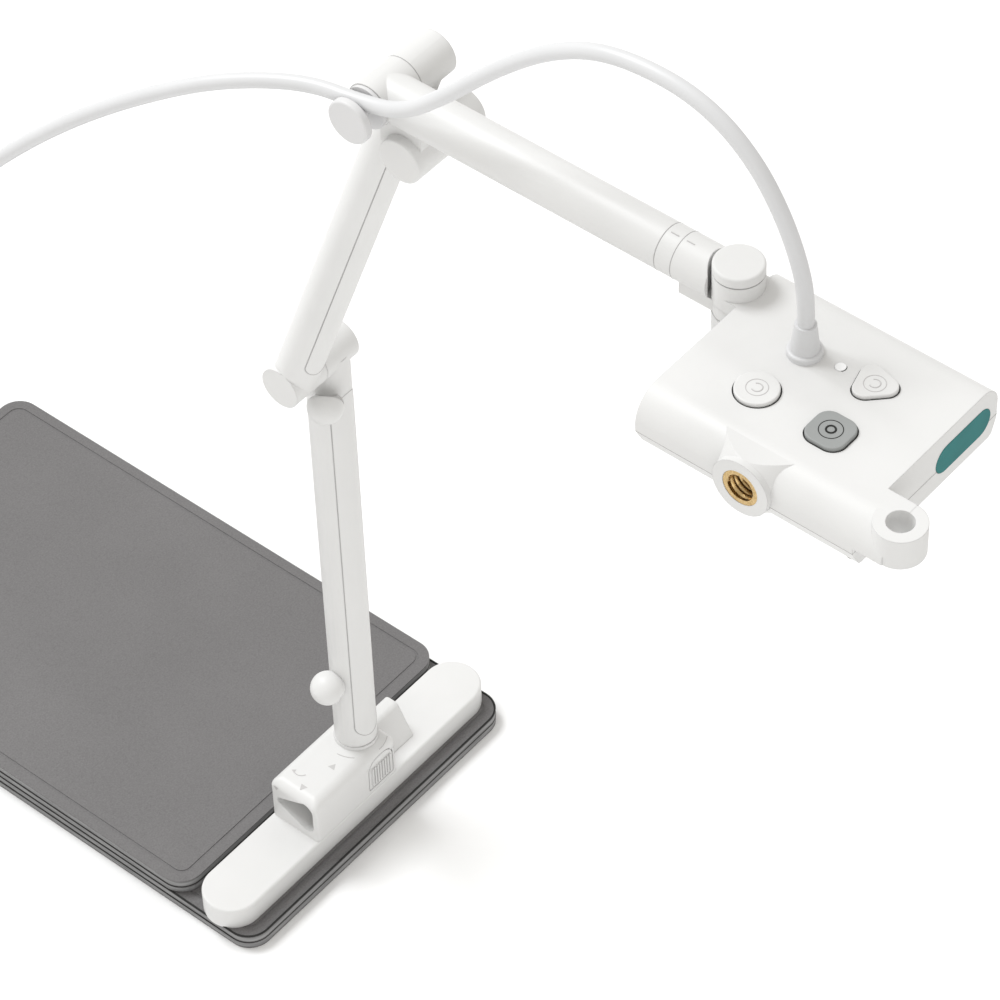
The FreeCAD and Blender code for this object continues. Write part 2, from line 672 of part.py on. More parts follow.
def triangle_button_outline(play, z):
    corner_r = TRIANGLE_CORNER + play
    reach = TRIANGLE_REACH + 2 * corner_r
    x, y = TRIANGLE_BUTTON
    corners = []
    for index in range(3):
        angle = math.radians(TRIANGLE_TURN + 120 * index)
        corners.append((x + reach * math.cos(angle), y + reach * math.sin(angle), z[0]))
    return prism(corners, [corner_r] * 3, (0, 0, z[1] - z[0]))


def round_button_outline(play, z):
    return upright(ROUND_BUTTON_R + play, ROUND_BUTTON, z)


BUTTON_OUTLINES = {
    "button_round": round_button_outline,
    "button_square": square_button_outline,
    "button_triangle": triangle_button_outline,
}


def button(draw):
    """A key cap with a softened top and a flange that keeps it under the lid."""
    cap = draw(0.0, (BUTTON_FLANGE_Z[1], BUTTON_TOP_Z))
    cap = round_edges(cap, 0.3, lambda at: at.z > BUTTON_TOP_Z - 0.01)
    return fuse([cap, draw(0.7, BUTTON_FLANGE_Z)])


def head_cavity():
    inner_y = (HEAD_Y[0] + HEAD_WALL, HEAD_Y[1] - HEAD_WALL - 1.2)
    hollow = head_block(HEAD_WALL, inner_y)
    hollow = hollow.cut(cross_rod(TRIPOD_BOSS_R, *TRIPOD, (TRIPOD_FACE_X, -47.9)))
    return hollow.cut(upright(TONGUE_R + 1.6, YAW, (280, 310)))


def head_openings():
    """What is cut through the walls: buttons, light, cable exit, window, insert, pin and lens."""
    wall = (HEAD_Z[1] - HEAD_WALL - 0.3, HEAD_Z[1] + 0.1)
    cuts = [draw(BUTTON_PLAY, wall) for draw in BUTTON_OUTLINES.values()]
    cuts.append(upright(LED_R + 0.03, LED, wall))
    cuts.append(upright(3.05, CABLE_EXIT, wall))
    cuts.append(window_pill(0.05, (HEAD_Y[0] - 0.1, HEAD_Y[0] + HEAD_WALL + 0.1)))
    cuts.append(cross_rod(INSERT_R, *TRIPOD, (TRIPOD_FACE_X - 0.1, TRIPOD_FACE_X + 0.1 + INSERT_LENGTH)))
    cuts.append(upright(YAW_PIN_R + 0.05, YAW, (285.8, LUG_TOP_Z)))
    cuts.append(upright(RING_HOLE_R, RING, (RING_BOTTOM_Z, HEAD_Z[1])))
    cuts.append(upright(6.05, LENS, (HEAD_Z[0], HEAD_Z[0] + HEAD_WALL)))
    cuts.append(hinge_slot())
    return cuts


def head_shells():
    whole = head_solid().cut(head_cavity())
    for cut in head_openings():
        whole = whole.cut(cut)
    reach = ((-70, 0), (-215, -130))
    above = fuse([
        box(*reach, (HEAD_SPLIT_Z, 310)),
        cross_rod(TRIPOD_BOSS_R + 0.05, *TRIPOD, (TRIPOD_FACE_X - 1, -47.85)),
    ])
    top = whole.common(above)
    bottom = whole.cut(above)
    bosses = [upright(2.2, at, (HEAD_SPLIT_Z, HEAD_Z[1] - HEAD_WALL)) for at in HEAD_BOSSES]
    top = fuse([top, *bosses])
    feet = [upright(2.2, at, (HEAD_Z[0] + 0.9, HEAD_SPLIT_Z)) for at in HEAD_BOSSES]
    bottom = fuse([bottom, *feet])
    for at in HEAD_BOSSES:
        top = top.cut(upright(0.9, at, (HEAD_SPLIT_Z, HEAD_SPLIT_Z + 5.0)))
        bottom = bottom.cut(upright(1.0, at, (HEAD_Z[0], HEAD_SPLIT_Z)))
        bottom = bottom.cut(upright(1.7, at, (HEAD_Z[0], HEAD_Z[0] + 1.6)))
    return top, bottom


def head_screws():
    screws = []
    for at in HEAD_BOSSES:
        head = upright(1.6, at, (HEAD_Z[0] + 0.5, HEAD_Z[0] + 1.6))
        screws.append(fuse([head, upright(0.9, at, (HEAD_Z[0] + 1.6, HEAD_SPLIT_Z + 4.6))]))
    return Part.Compound(screws)


def rest_nubs():
    """Two small pads under the head's outer end."""
    z = (HEAD_Z[0] - 0.9, HEAD_Z[0])
    return Part.Compound([upright(1.7, (x, -196.2), z) for x in (-50.4, -11.6)])


def tripod_insert():
    x = (TRIPOD_FACE_X + 0.1, TRIPOD_FACE_X + 0.1 + INSERT_LENGTH)
    return cross_rod(INSERT_R, *TRIPOD, x).cut(cross_rod(INSERT_THREAD_R, *TRIPOD, x))


def button_switches():
    z = (BOARD_Z[1], BUTTON_FLANGE_Z[0] - BUTTON_TRAVEL - 0.1)
    return Part.Compound([upright(1.75, at, z) for at in (ROUND_BUTTON, SQUARE_BUTTON, TRIANGLE_BUTTON)])


def main_board():
    return plate((-43.3, -15.4), (-196.0, -149.0), BOARD_Z, 1.5)


def status_light_pipe():
    return upright(LED_R, LED, (BOARD_Z[1], HEAD_Z[1] + 0.1))


def camera_module():
    """The sensor block under the board, with the flange that holds the lens."""
    x = (LENS[0] - 5.0, LENS[0] + 5.0)
    y = (LENS[1] - 5.0, LENS[1] + 5.0)
    return box(x, y, (288.2, BOARD_Z[0]))


def lens_barrel():
    z = (285.5, 288.2)
    return upright(4.2, LENS, z).cut(upright(2.6, LENS, (z[0], z[0] + 1.2)))


def lens_window():
    return upright(6.0, LENS, (HEAD_Z[0], HEAD_Z[0] + 1.2))


def end_window():
    return window_pill(0.0, (HEAD_Y[0] - 0.05, HEAD_Y[0] + 1.5))


def strain_relief():
    """A soft sleeve: flange inside, neck through the lid, collar on it and a taper up the cable."""
    lid = HEAD_Z[1]
    flange = upright(3.9, CABLE_EXIT, (lid - HEAD_WALL - 1.2, lid - HEAD_WALL))
    neck = upright(3.0, CABLE_EXIT, (lid - HEAD_WALL, lid))
    collar = upright(3.85, CABLE_EXIT, (lid, lid + 1.5))
    collar = round_edges(collar, 0.5, lambda at: at.z > lid + 1.49)
    base = vector((*CABLE_EXIT, lid + 1.5))
    taper = Part.makeCone(3.1, 2.3, CABLE_EXIT_Z - lid - 1.5, base)
    return fuse([flange, neck, collar, taper])


# Cable

def rounded_route(points):
    """A wire of straight runs joined by tangent arcs, and the arcs' radii."""
    edges = []
    radii = []
    start = vector(points[0])
    for before, corner, after in zip(points, points[1:], points[2:]):
        here = vector(corner)
        back = vector(before) - here
        ahead = vector(after) - here
        reach = 0.45 * min(back.Length, ahead.Length)
        half_turn = (math.pi - back.getAngle(ahead)) / 2
        radius = reach / math.tan(half_turn)
        first = here + back.normalize() * reach
        last = here + ahead.normalize() * reach
        middle = (back + ahead).normalize()
        top = here + middle * (radius / math.cos(half_turn) - radius)
        edges.append(Part.LineSegment(start, first).toShape())
        edges.append(Part.Arc(first, top, last).toShape())
        radii.append(radius)
        start = last
    edges.append(Part.LineSegment(start, vector(points[-1])).toShape())
    return Part.Wire(edges), radii


def cable_tube(points):
    """A round cable along a route of points."""
    path, radii = rounded_route(points)
    start = vector(points[0])
    section = Part.Wire(Part.makeCircle(CABLE_R, start, vector(points[1]) - start))
    tube = path.makePipeShell([section], True, False)
    expected = math.pi * CABLE_R**2 * path.Length
    print(
        "cable run", round(path.Length, 1), "mm, radii", [round(radius) for radius in radii],
        "volume over section x length", round(tube.Volume / expected, 4),
    )
    return tube


def coil_ring(grow, sweep):
    """The coil's rounded section, grown all round and swept through an angle about the coil's axis."""
    x = (COIL_MID_R - COIL_HALF_WIDTH - grow, COIL_MID_R + COIL_HALF_WIDTH + grow)
    z = (TIE_THICK - grow, TIE_THICK + COIL_HEIGHT + grow)
    corners = [(x[0], 0, z[0]), (x[1], 0, z[0]), (x[1], 0, z[1]), (x[0], 0, z[1])]
    face = Part.Face(outline(corners, [CABLE_R + grow] * 4))
    return face.revolve(vector((0, 0, 0)), vector((0, 0, 1)), sweep)


def cable_coil():
    """The spare cable, wound into a flat ring beside the mat; its tie holds it just off the floor."""
    ring = coil_ring(0.0, 360)
    ring.translate(vector((*COIL_CENTRE, 0)))
    return ring


def cable_tie():
    """The soft band that holds the coil's turns together."""
    band = coil_ring(TIE_THICK, TIE_SWEEP).cut(coil_ring(0.0, TIE_SWEEP))
    band = turned(band, (0, 0, 0), (0, 0, 1), TIE_BEARING)
    band.translate(vector((*COIL_CENTRE, 0)))
    return band


def plug_overmould():
    x = (PLUG_X - PLUG_HALF_WIDTH, PLUG_X + PLUG_HALF_WIDTH)
    return plate(x, (PLUG_Y[0], PLUG_Y[1]), (0, PLUG_HEIGHT), 2.0)


def plug_shell():
    middle = PLUG_HEIGHT / 2
    z = (middle - SHELL_HEIGHT / 2, middle + SHELL_HEIGHT / 2)
    x = (PLUG_X - SHELL_HALF_WIDTH, PLUG_X + SHELL_HALF_WIDTH)
    shell = box(x, (PLUG_Y[1], PLUG_Y[2]), z)
    inside_x = (x[0] + SHELL_WALL, x[1] - SHELL_WALL)
    inside_z = (z[0] + SHELL_TONGUE_Z, z[1] - SHELL_WALL)
    return shell.cut(box(inside_x, (PLUG_Y[1] + 1.0, PLUG_Y[2]), inside_z))


def arm_nodes():
    return {
        "post_foot_spigot": foot_spigot(),
        "post_tube": post_tube(),
        "post_cover_strip": cover_strip(POST_R, POST_X, POST_STRIP_Z),
        "cable_hook_lower": winding_hook(LOWER_HOOK, -1),
        "cable_hook_upper": winding_hook(UPPER_HOOK, 1),
        "elbow_1_pin": elbow_pin(10.85, -9.3, 0, ELBOW_1_Z),
        "elbow_1_washer": washer(0, ELBOW_1_Z, (MID_LAYER[1] - WASHER_THICK + 0.03, POST_LAYER[0] - 0.03)),
        "elbow_1_cap": cross_rod(CAP_R, 0, ELBOW_1_Z, (10.95, POST_LAYER[1])),
        "mid_arm_tube": mid_arm_tube(),
        "mid_arm_cover_strip": mid_cover_strip(),
        "elbow_2_pin": elbow_pin(-22.15, -1.5, *ELBOW_2),
        "elbow_2_washer": washer(*ELBOW_2, (UPPER_LAYER[1] + 0.03, MID_LAYER[0] + WASHER_THICK - 0.03)),
        "upper_arm_tube": upper_arm_tube(),
        "cable_guide_cap": cable_guide_cap(),
        "wrist_ring": wrist_ring(),
        "wrist_shaft": wrist_shaft(),
        "wrist_fork": wrist_fork(),
        "yaw_pin": yaw_pin(),
        "hinge_cap": hinge_cap(),
    }


def head_nodes():
    top, bottom = head_shells()
    nodes = {name: button(draw) for name, draw in BUTTON_OUTLINES.items()}
    nodes.update({
        "head_top_shell": top,
        "head_bottom_shell": bottom,
        "head_screws": head_screws(),
        "head_rest_nubs": rest_nubs(),
        "tripod_insert": tripod_insert(),
        "button_switches": button_switches(),
        "main_board": main_board(),
        "status_light_pipe": status_light_pipe(),
        "camera_module": camera_module(),
        "lens_barrel": lens_barrel(),
        "lens_window": lens_window(),
        "end_window": end_window(),
        "strain_relief": strain_relief(),
    })
    return nodes


def half_way(index):
    """The middle of the run that follows a point of the route, where two lengths of cable meet."""
    return tuple((a + b) / 2 for a, b in zip(ROUTE[index], ROUTE[index + 1]))


def route_runs():
    """The route's points, divided into one length of cable for each moving part that it passes."""
    runs = []
    start = [ROUTE[0]]
    first = 1
    for index in RUN_ENDS:
        meeting = half_way(index)
        runs.append([*start, *ROUTE[first:index + 1], meeting])
        start = [meeting]
        first = index + 1
    runs.append([*start, *ROUTE[first:]])
    return runs


def cable_nodes():
    head, arch, elbow, drop, floor = [cable_tube(points) for points in route_runs()]
    return {
        "cable_head_run": head,
        "cable_arch_run": arch,
        "cable_elbow_run": elbow,
        "cable_drop_run": drop,
        "cable_floor_run": Part.Compound([floor, cable_tube(PLUG_LEAD)]),
        "cable_coil": cable_coil(),
        "cable_tie": cable_tie(),
        "usb_plug_overmould": plug_overmould(),
        "usb_plug_shell": plug_shell(),
    }


def main():
    os.makedirs("parts", exist_ok=True)
    nodes = {
        **mat_nodes(),
        "base_bar_shell": bar_shell(),
        "base_bottom_plate": bottom_plate(),
        "base_steel_weights": steel_weights(),
        "base_plate_screws": plate_screws(),
        "tower_housing": tower_housing(),
        "latch_tongue": latch_tongue(),
        **arm_nodes(),
        **head_nodes(),
        **cable_nodes(),
    }
    for name, shape in nodes.items():
        shape.exportStep(f"parts/{name}.step")
    print(len(nodes), "nodes")


main()
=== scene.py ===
"""Looks for the folding document camera on its weighted bar and folded board mat. Metres, +Z up."""
import math

import bmesh
import bpy
from mathutils import Matrix, Vector


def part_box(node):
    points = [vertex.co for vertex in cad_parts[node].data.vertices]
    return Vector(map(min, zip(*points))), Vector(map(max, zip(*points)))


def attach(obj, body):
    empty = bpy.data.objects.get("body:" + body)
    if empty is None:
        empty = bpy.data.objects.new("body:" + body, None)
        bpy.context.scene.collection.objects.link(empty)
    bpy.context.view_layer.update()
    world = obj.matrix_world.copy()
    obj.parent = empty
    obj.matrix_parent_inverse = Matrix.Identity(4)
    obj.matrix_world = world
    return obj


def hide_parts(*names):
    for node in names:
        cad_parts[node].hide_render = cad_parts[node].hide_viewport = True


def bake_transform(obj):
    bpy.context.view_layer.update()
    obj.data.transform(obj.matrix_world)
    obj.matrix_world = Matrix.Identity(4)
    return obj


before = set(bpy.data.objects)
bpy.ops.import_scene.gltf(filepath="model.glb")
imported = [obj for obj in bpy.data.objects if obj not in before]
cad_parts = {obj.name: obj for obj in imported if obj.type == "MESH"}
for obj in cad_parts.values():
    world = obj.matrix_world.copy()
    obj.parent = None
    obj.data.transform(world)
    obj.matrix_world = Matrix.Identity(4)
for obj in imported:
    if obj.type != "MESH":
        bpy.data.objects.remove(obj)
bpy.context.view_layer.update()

MM = 0.001

# Camera
CAMERA_AT = (-0.5273, -0.5217, 0.9213)
CAMERA_AZIMUTH = -48.775
CAMERA_ELEVATION = 47.201
CAMERA_ROLL = -2.167
CAMERA_LENS = 156.4

# Cable
CABLE_R = 0.0018
ROUTE = (
    (-0.0241, -0.1638, 0.3064), (-0.0241, -0.1638, 0.3140), (-0.0243, -0.1614, 0.3238),
    (-0.0245, -0.1570, 0.3340), (-0.0247, -0.1506, 0.3434), (-0.0249, -0.1414, 0.3506),
    (-0.0250, -0.1295, 0.3536), (-0.0251, -0.1130, 0.3520), (-0.0251, -0.0986, 0.3440),
    (-0.0250, -0.0844, 0.3312), (-0.0249, -0.0710, 0.3166), (-0.0249, -0.0582, 0.3046),
    (-0.0252, -0.0462, 0.3014), (-0.0259, -0.0344, 0.3002), (-0.0292, -0.0226, 0.2976),
    (-0.0346, -0.0092, 0.2932), (-0.0403, 0.0052, 0.2852), (-0.0459, 0.0190, 0.2758),
    (-0.0513, 0.0326, 0.2642), (-0.0576, 0.0466, 0.2496), (-0.0646, 0.0600, 0.2332),
    (-0.0720, 0.0720, 0.2126), (-0.0792, 0.0834, 0.1840), (-0.0856, 0.0926, 0.1506),
    (-0.0910, 0.1004, 0.1140), (-0.0970, 0.1070, 0.0780), (-0.1044, 0.1130, 0.0460),
    (-0.1110, 0.1190, 0.0240),
)
PLUG_LEAD = ((-0.1214, 0.1370, 0.0028), (-0.1182, 0.1470, 0.0038), (-0.1178, 0.1560, 0.0040))
COIL_CENTRE = (-0.0980, 0.1280)
COIL_RADII = (0.0162, 0.0200, 0.0238)
COIL_LAYERS = (0.0026, 0.0064, 0.0102)
COIL_STEPS = 16
COIL_CROSSING_STEPS = 4
COIL_ENTRY_RISE = (0.0058, 0.0036, 0.0018, 0.0006)
TUBE_SIDES = 20
# Each piece's name, rest length (None for the rest of the line), two bodies and the CAD it stands for.
CABLE_PIECES = (
    ("cable_at_head", 0.072, "head", "wrist", ("cable_head_run",)),
    ("cable_over_arch", 0.098, "wrist", "upper_arm", ("cable_arch_run",)),
    ("cable_over_guide", 0.070, "upper_arm", "mid_arm", ("cable_elbow_run",)),
    ("cable_behind_post", 0.060, "mid_arm", "post", ("cable_drop_run",)),
    ("cable_falling", 0.090, "post", "post_foot", ()),
    ("cable_to_coil", None, "post_foot", "base", ("cable_floor_run", "cable_coil")),
)

# Lines and marks
SEAM_WIDTH = 0.16 * MM
WRIST_SEAM_WIDTH = 0.14 * MM
PARTING_WIDTH = 0.15 * MM
KEY_GAP_WIDTH = 0.2 * MM
SAME_HEIGHT = 0.00004
HEAD_SPLIT_HEIGHT = 288.8 * MM
HEAD_SIDES_X = (-54.9 * MM, -7.0 * MM)
HEAD_END_Y = -198.7 * MM
KEY_HOLE_REACH = 0.0079
STRIP_SKIN_R = {"post_cover_strip": 5.6 * MM, "mid_arm_cover_strip": 5.45 * MM}
ELBOW_SEAM_R = 5.42 * MM
SLIT_WIDTH = 0.6 * MM
SLIT_INSET = 0.2 * MM
SLIT_MIDDLE_Y = 0.08
KEYS = (("button_round", "round_key"), ("button_square", "square_key"), ("button_triangle", "triangle_key"))
THREAD_PITCH = 1.27 * MM
THREAD_STEPS = 28
THREAD_ROOT_R = 3.2
THREAD_CREST_R = 2.72
FLOOR_REACH = 6.0

# Materials

TEXTURE_RANGE = (0.3, 0.7)


def new_material(name, roughness, metallic=0.0):
    made = bpy.data.materials.new(name)
    made.use_nodes = True
    tree = made.node_tree
    shader = tree.nodes["Principled BSDF"]
    shader.inputs["Roughness"].default_value = roughness
    shader.inputs["Metallic"].default_value = metallic
    place = tree.nodes.new("ShaderNodeTexCoord").outputs["Object"]
    return made, tree, shader, place


def noise(tree, place, scale, detail=3.0, stretch=None):
    if stretch:
        mapping = tree.nodes.new("ShaderNodeMapping")
        mapping.inputs["Scale"].default_value = stretch
        tree.links.new(place, mapping.inputs["Vector"])
        place = mapping.outputs["Vector"]
    made = tree.nodes.new("ShaderNodeTexNoise")
    made.inputs["Scale"].default_value = scale
    made.inputs["Detail"].default_value = detail
    tree.links.new(place, made.inputs["Vector"])
    return made.outputs["Fac"]


def ramp(tree, factor, dark, light):
    """Maps a texture's middle range to two colours and the mixes between them."""
    made = tree.nodes.new("ShaderNodeValToRGB")
    made.color_ramp.elements[0].position = TEXTURE_RANGE[0]
    made.color_ramp.elements[1].position = TEXTURE_RANGE[1]
    made.color_ramp.elements[0].color = (*dark, 1.0)
    made.color_ramp.elements[1].color = (*light, 1.0)
    tree.links.new(factor, made.inputs["Fac"])
    return made.outputs["Color"]


def spread(tree, factor, low, high):
    """Maps a texture's middle range to a range of values."""
    made = tree.nodes.new("ShaderNodeMapRange")
    made.inputs["From Min"].default_value = TEXTURE_RANGE[0]
    made.inputs["From Max"].default_value = TEXTURE_RANGE[1]
    made.inputs["To Min"].default_value = low
    made.inputs["To Max"].default_value = high
    tree.links.new(factor, made.inputs["Value"])
    return made.outputs["Result"]


def bump(tree, shader, height, strength, distance, soften=0.0):
    made = tree.nodes.new("ShaderNodeBump")
    made.inputs["Strength"].default_value = strength
    made.inputs["Distance"].default_value = distance
    tree.links.new(height, made.inputs["Height"])
    if soften:
        bevel = tree.nodes.new("ShaderNodeBevel")
        bevel.samples = 4
        bevel.inputs["Radius"].default_value = soften
        tree.links.new(bevel.outputs["Normal"], made.inputs["Normal"])
    tree.links.new(made.outputs["Normal"], shader.inputs["Normal"])


def plastic(name, dark, light, roughness, grain=3200.0, depth=0.00001, soften=0.0003, coat=0.0):
    """Moulded plastic: a fine spark-eroded grain, cloudy tint, and gloss that varies with it."""
    made, tree, shader, place = new_material(name, roughness)
    cloud = noise(tree, place, 42.0, 4.0)
    fine = noise(tree, place, grain, 2.0)
    tree.links.new(ramp(tree, cloud, dark, light), shader.inputs["Base Color"])
    tree.links.new(spread(tree, cloud, roughness - 0.05, roughness + 0.07), shader.inputs["Roughness"])
    shader.inputs["Coat Weight"].default_value = coat
    shader.inputs["Coat Roughness"].default_value = 0.25
    bump(tree, shader, fine, 0.35, depth, soften)
    return made


def leather():
    """Dark grey leatherette: small pebbles with creases between them over a cloudy dye."""
    made, tree, shader, place = new_material("grained_leatherette", 0.6)
    pebble = tree.nodes.new("ShaderNodeTexVoronoi")
    pebble.feature = "SMOOTH_F1"
    pebble.inputs["Scale"].default_value = 1250.0
    pebble.inputs["Randomness"].default_value = 0.9
    tree.links.new(place, pebble.inputs["Vector"])
    cloud = noise(tree, place, 30.0, 5.0)
    speck = noise(tree, place, 2100.0, 2.0)
    mixed = tree.nodes.new("ShaderNodeMix")
    mixed.data_type = "RGBA"
    mixed.inputs["Factor"].default_value = 0.5
    tree.links.new(ramp(tree, cloud, (0.128, 0.124, 0.125), (0.158, 0.153, 0.154)), mixed.inputs["A"])
    tree.links.new(ramp(tree, speck, (0.108, 0.104, 0.105), (0.180, 0.174, 0.174)), mixed.inputs["B"])
    tree.links.new(mixed.outputs["Result"], shader.inputs["Base Color"])
    tree.links.new(spread(tree, pebble.outputs["Distance"], 0.52, 0.70), shader.inputs["Roughness"])
    bump(tree, shader, pebble.outputs["Distance"], 0.45, 0.00006)
    return made


def board():
    """Pressed grey board seen at its edge: thin layers of fibre."""
    made, tree, shader, place = new_material("pressed_board", 0.8)
    layers = noise(tree, place, 900.0, 4.0, (0.12, 0.12, 2.4))
    fibre = noise(tree, place, 2600.0, 2.0)
    tree.links.new(ramp(tree, layers, (0.17, 0.17, 0.172), (0.30, 0.30, 0.30)), shader.inputs["Base Color"])
    tree.links.new(spread(tree, fibre, 0.7, 0.92), shader.inputs["Roughness"])
    bump(tree, shader, fibre, 0.5, 0.00004)
    return made


def metal(name, dark, light, roughness, stretch):
    """Turned or drawn metal: streaks along the tool's path."""
    made, tree, shader, place = new_material(name, roughness, 1.0)
    streak = noise(tree, place, 2200.0, 3.0, stretch)
    tree.links.new(ramp(tree, streak, dark, light), shader.inputs["Base Color"])
    tree.links.new(spread(tree, streak, roughness - 0.07, roughness + 0.1), shader.inputs["Roughness"])
    bump(tree, shader, streak, 0.3, 0.000006, 0.00015)
    return made


def glass(name, dark, light, roughness, coat):
    """Tinted window with a hard glossy face and a faint depth of colour."""
    made, tree, shader, place = new_material(name, roughness)
    cloud = noise(tree, place, 90.0, 2.0)
    tree.links.new(ramp(tree, cloud, dark, light), shader.inputs["Base Color"])
    tree.links.new(spread(tree, cloud, roughness, roughness + 0.05), shader.inputs["Roughness"])
    shader.inputs["Coat Weight"].default_value = coat
    shader.inputs["Coat Roughness"].default_value = 0.05
    shader.inputs["Specular IOR Level"].default_value = 0.06
    bump(tree, shader, cloud, 0.05, 0.00002, 0.0002)
    return made


MATERIALS = {
    "white_plastic": plastic("white_abs", (0.680, 0.678, 0.672), (0.715, 0.713, 0.707), 0.44),
    "grey_key": plastic("grey_key_plastic", (0.275, 0.285, 0.282), (0.315, 0.325, 0.321), 0.5),
    "mat_leather": leather(),
    "mat_board": board(),
    "steel": metal("bright_steel", (0.46, 0.46, 0.47), (0.62, 0.62, 0.63), 0.3, (1.0, 0.1, 1.0)),
    "brass": metal("gold_brass", (0.42, 0.285, 0.12), (0.66, 0.48, 0.24), 0.26, (0.15, 1.0, 1.0)),
    "teal_window": glass("teal_window_finish", (0.006, 0.135, 0.135), (0.012, 0.185, 0.180), 0.2, 0.0),
    "clear_light": plastic("light_pipe", (0.92, 0.93, 0.94), (0.98, 0.98, 0.98), 0.25, coat=0.5),
    "lens_glass": glass("lens_glass_finish", (0.006, 0.008, 0.016), (0.016, 0.020, 0.036), 0.06, 1.0),
    "black_plastic": plastic("black_plastic_finish", (0.016, 0.016, 0.017), (0.030, 0.030, 0.031), 0.5),
    "board_green": plastic(
        "circuit_board", (0.010, 0.075, 0.030), (0.016, 0.120, 0.048), 0.35, 600.0, coat=0.4,
    ),
    "cable_white": plastic(
        "cable_jacket", (0.635, 0.637, 0.645), (0.668, 0.670, 0.678), 0.40, 1500.0, 0.000008, 0.0,
    ),
    "nub_rubber": plastic("soft_rubber", (0.30, 0.295, 0.29), (0.36, 0.355, 0.35), 0.75, 1800.0, 0.00002),
    "nickel": metal("nickel_plate", (0.62, 0.61, 0.59), (0.76, 0.75, 0.73), 0.2, (1.0, 0.12, 1.0)),
}
SEAM = plastic("shadow_line", (0.41, 0.405, 0.40), (0.47, 0.465, 0.46), 0.8, soften=0.0)
DEEP = plastic("shadow_gap", (0.012, 0.012, 0.011), (0.020, 0.020, 0.019), 0.85, soften=0.0)
MARK = plastic("pressed_mark", (0.50, 0.49, 0.485), (0.56, 0.55, 0.545), 0.7, soften=0.0)
CAP = plastic("disc_white", (0.655, 0.652, 0.656), (0.690, 0.686, 0.690), 0.5)


# Pieces

def dress(piece, body, material):
    """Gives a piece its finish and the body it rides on."""
    piece.data.materials.clear()
    piece.data.materials.append(material)
    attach(piece, body)
    return piece


def mesh_piece(name, points, faces, body, material, smooth=False):
    mesh = bpy.data.meshes.new(name)
    mesh.from_pydata([Vector(point) for point in points], [], faces)
    solid = bmesh.new()
    solid.from_mesh(mesh)
    bmesh.ops.recalc_face_normals(solid, faces=solid.faces)
    solid.to_mesh(mesh)
    solid.free()
    if smooth:
        mesh.polygons.foreach_set("use_smooth", [True] * len(mesh.polygons))
    piece = bpy.data.objects.new(name, mesh)
    bpy.context.scene.collection.objects.link(piece)
    return dress(piece, body, material)


def slab(name, corners, push, body, material):
    """A flat shape pushed along a vector: corners run round it."""
    count = len(corners)
    low = [Vector(corner) for corner in corners]
    points = low + [corner + Vector(push) for corner in low]
    sides = [(i, (i + 1) % count, count + (i + 1) % count, count + i) for i in range(count)]
    faces = [tuple(range(count)), tuple(range(count, 2 * count)), *sides]
    return mesh_piece(name, points, faces, body, material)


def line_piece(name, runs, thickness, body, material, closed=False):
    """Fine round lines through points, for seams and engraved marks."""
    curve = bpy.data.curves.new(name, "CURVE")
    curve.dimensions = "3D"
    curve.bevel_depth = thickness / 2
    curve.bevel_resolution = 2
    curve.use_fill_caps = True
    for run in runs:
        spline = curve.splines.new("POLY")
        spline.points.add(len(run) - 1)
        for at, point in zip(spline.points, run):
            at.co = (*point, 1.0)
        spline.use_cyclic_u = closed
    piece = bpy.data.objects.new(name, curve)
    bpy.context.scene.collection.objects.link(piece)
    return dress(piece, body, material)


def ring(centre, radius, axis, start=0.0, sweep=360.0, steps=64):
    """Points round a circle, or along an arc of it, about an axis through its centre."""
    across = Vector((0, 0, 1)) if abs(axis[2]) < 0.9 else Vector((1, 0, 0))
    side = Vector(axis).cross(across).normalized()
    up = side.cross(Vector(axis)).normalized()
    count = steps if sweep >= 360 else steps + 1
    points = []
    for index in range(count):
        angle = math.radians(start + sweep * index / steps)
        points.append(Vector(centre) + side * (radius * math.cos(angle)) + up * (radius * math.sin(angle)))
    return points


def sharp_lines(node, wanted):
    """Runs of points along a CAD node's sharp edges whose ends both pass a test."""
    mesh = bmesh.new()
    mesh.from_mesh(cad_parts[node].data)
    links = {}
    for edge in mesh.edges:
        if edge.is_boundary and all(wanted(vert.co) for vert in edge.verts):
            a, b = [tuple(round(c, 6) for c in vert.co) for vert in edge.verts]
            links.setdefault(a, set()).add(b)
            links.setdefault(b, set()).add(a)
    mesh.free()
    runs = []
    while links:
        ends = [point for point, near in links.items() if len(near) == 1]
        here = min(ends) if ends else min(links)
        run = [here]
        while links.get(here):
            following = min(links[here])
            links[here].discard(following)
            links[following].discard(here)
            run.append(following)
            here = following
        links = {point: near for point, near in links.items() if near}
        if len(run) > 1:
            runs.append(run)
    return runs


# Cable

def coil_turns():
    """Nine clockwise turns in three columns: down the inner one, up the middle one, down the outer one."""
    layers = (2, 1, 0, 0, 1, 2, 2, 1, 0)
    grow = 1 / math.cos(math.pi / COIL_STEPS)
    points = []
    for turn, layer in enumerate(layers):
        column = turn // 3
        last = turn == len(layers) - 1
        after = layer if last else layers[turn + 1]
        wider = column if last else (turn + 1) // 3
        for step in range(COIL_STEPS):
            share = max(0.0, (step - COIL_STEPS + COIL_CROSSING_STEPS) / COIL_CROSSING_STEPS)
            radius = COIL_RADII[column] + (COIL_RADII[wider] - COIL_RADII[column]) * share
            z = COIL_LAYERS[layer] + (COIL_LAYERS[after] - COIL_LAYERS[layer]) * share
            if turn == 0 and step < len(COIL_ENTRY_RISE):
                z += COIL_ENTRY_RISE[step]
            angle = math.pi - 2 * math.pi * (step + 0.5) / COIL_STEPS
            x = COIL_CENTRE[0] + radius * grow * math.cos(angle)
            points.append((x, COIL_CENTRE[1] + radius * grow * math.sin(angle), z))
    return points


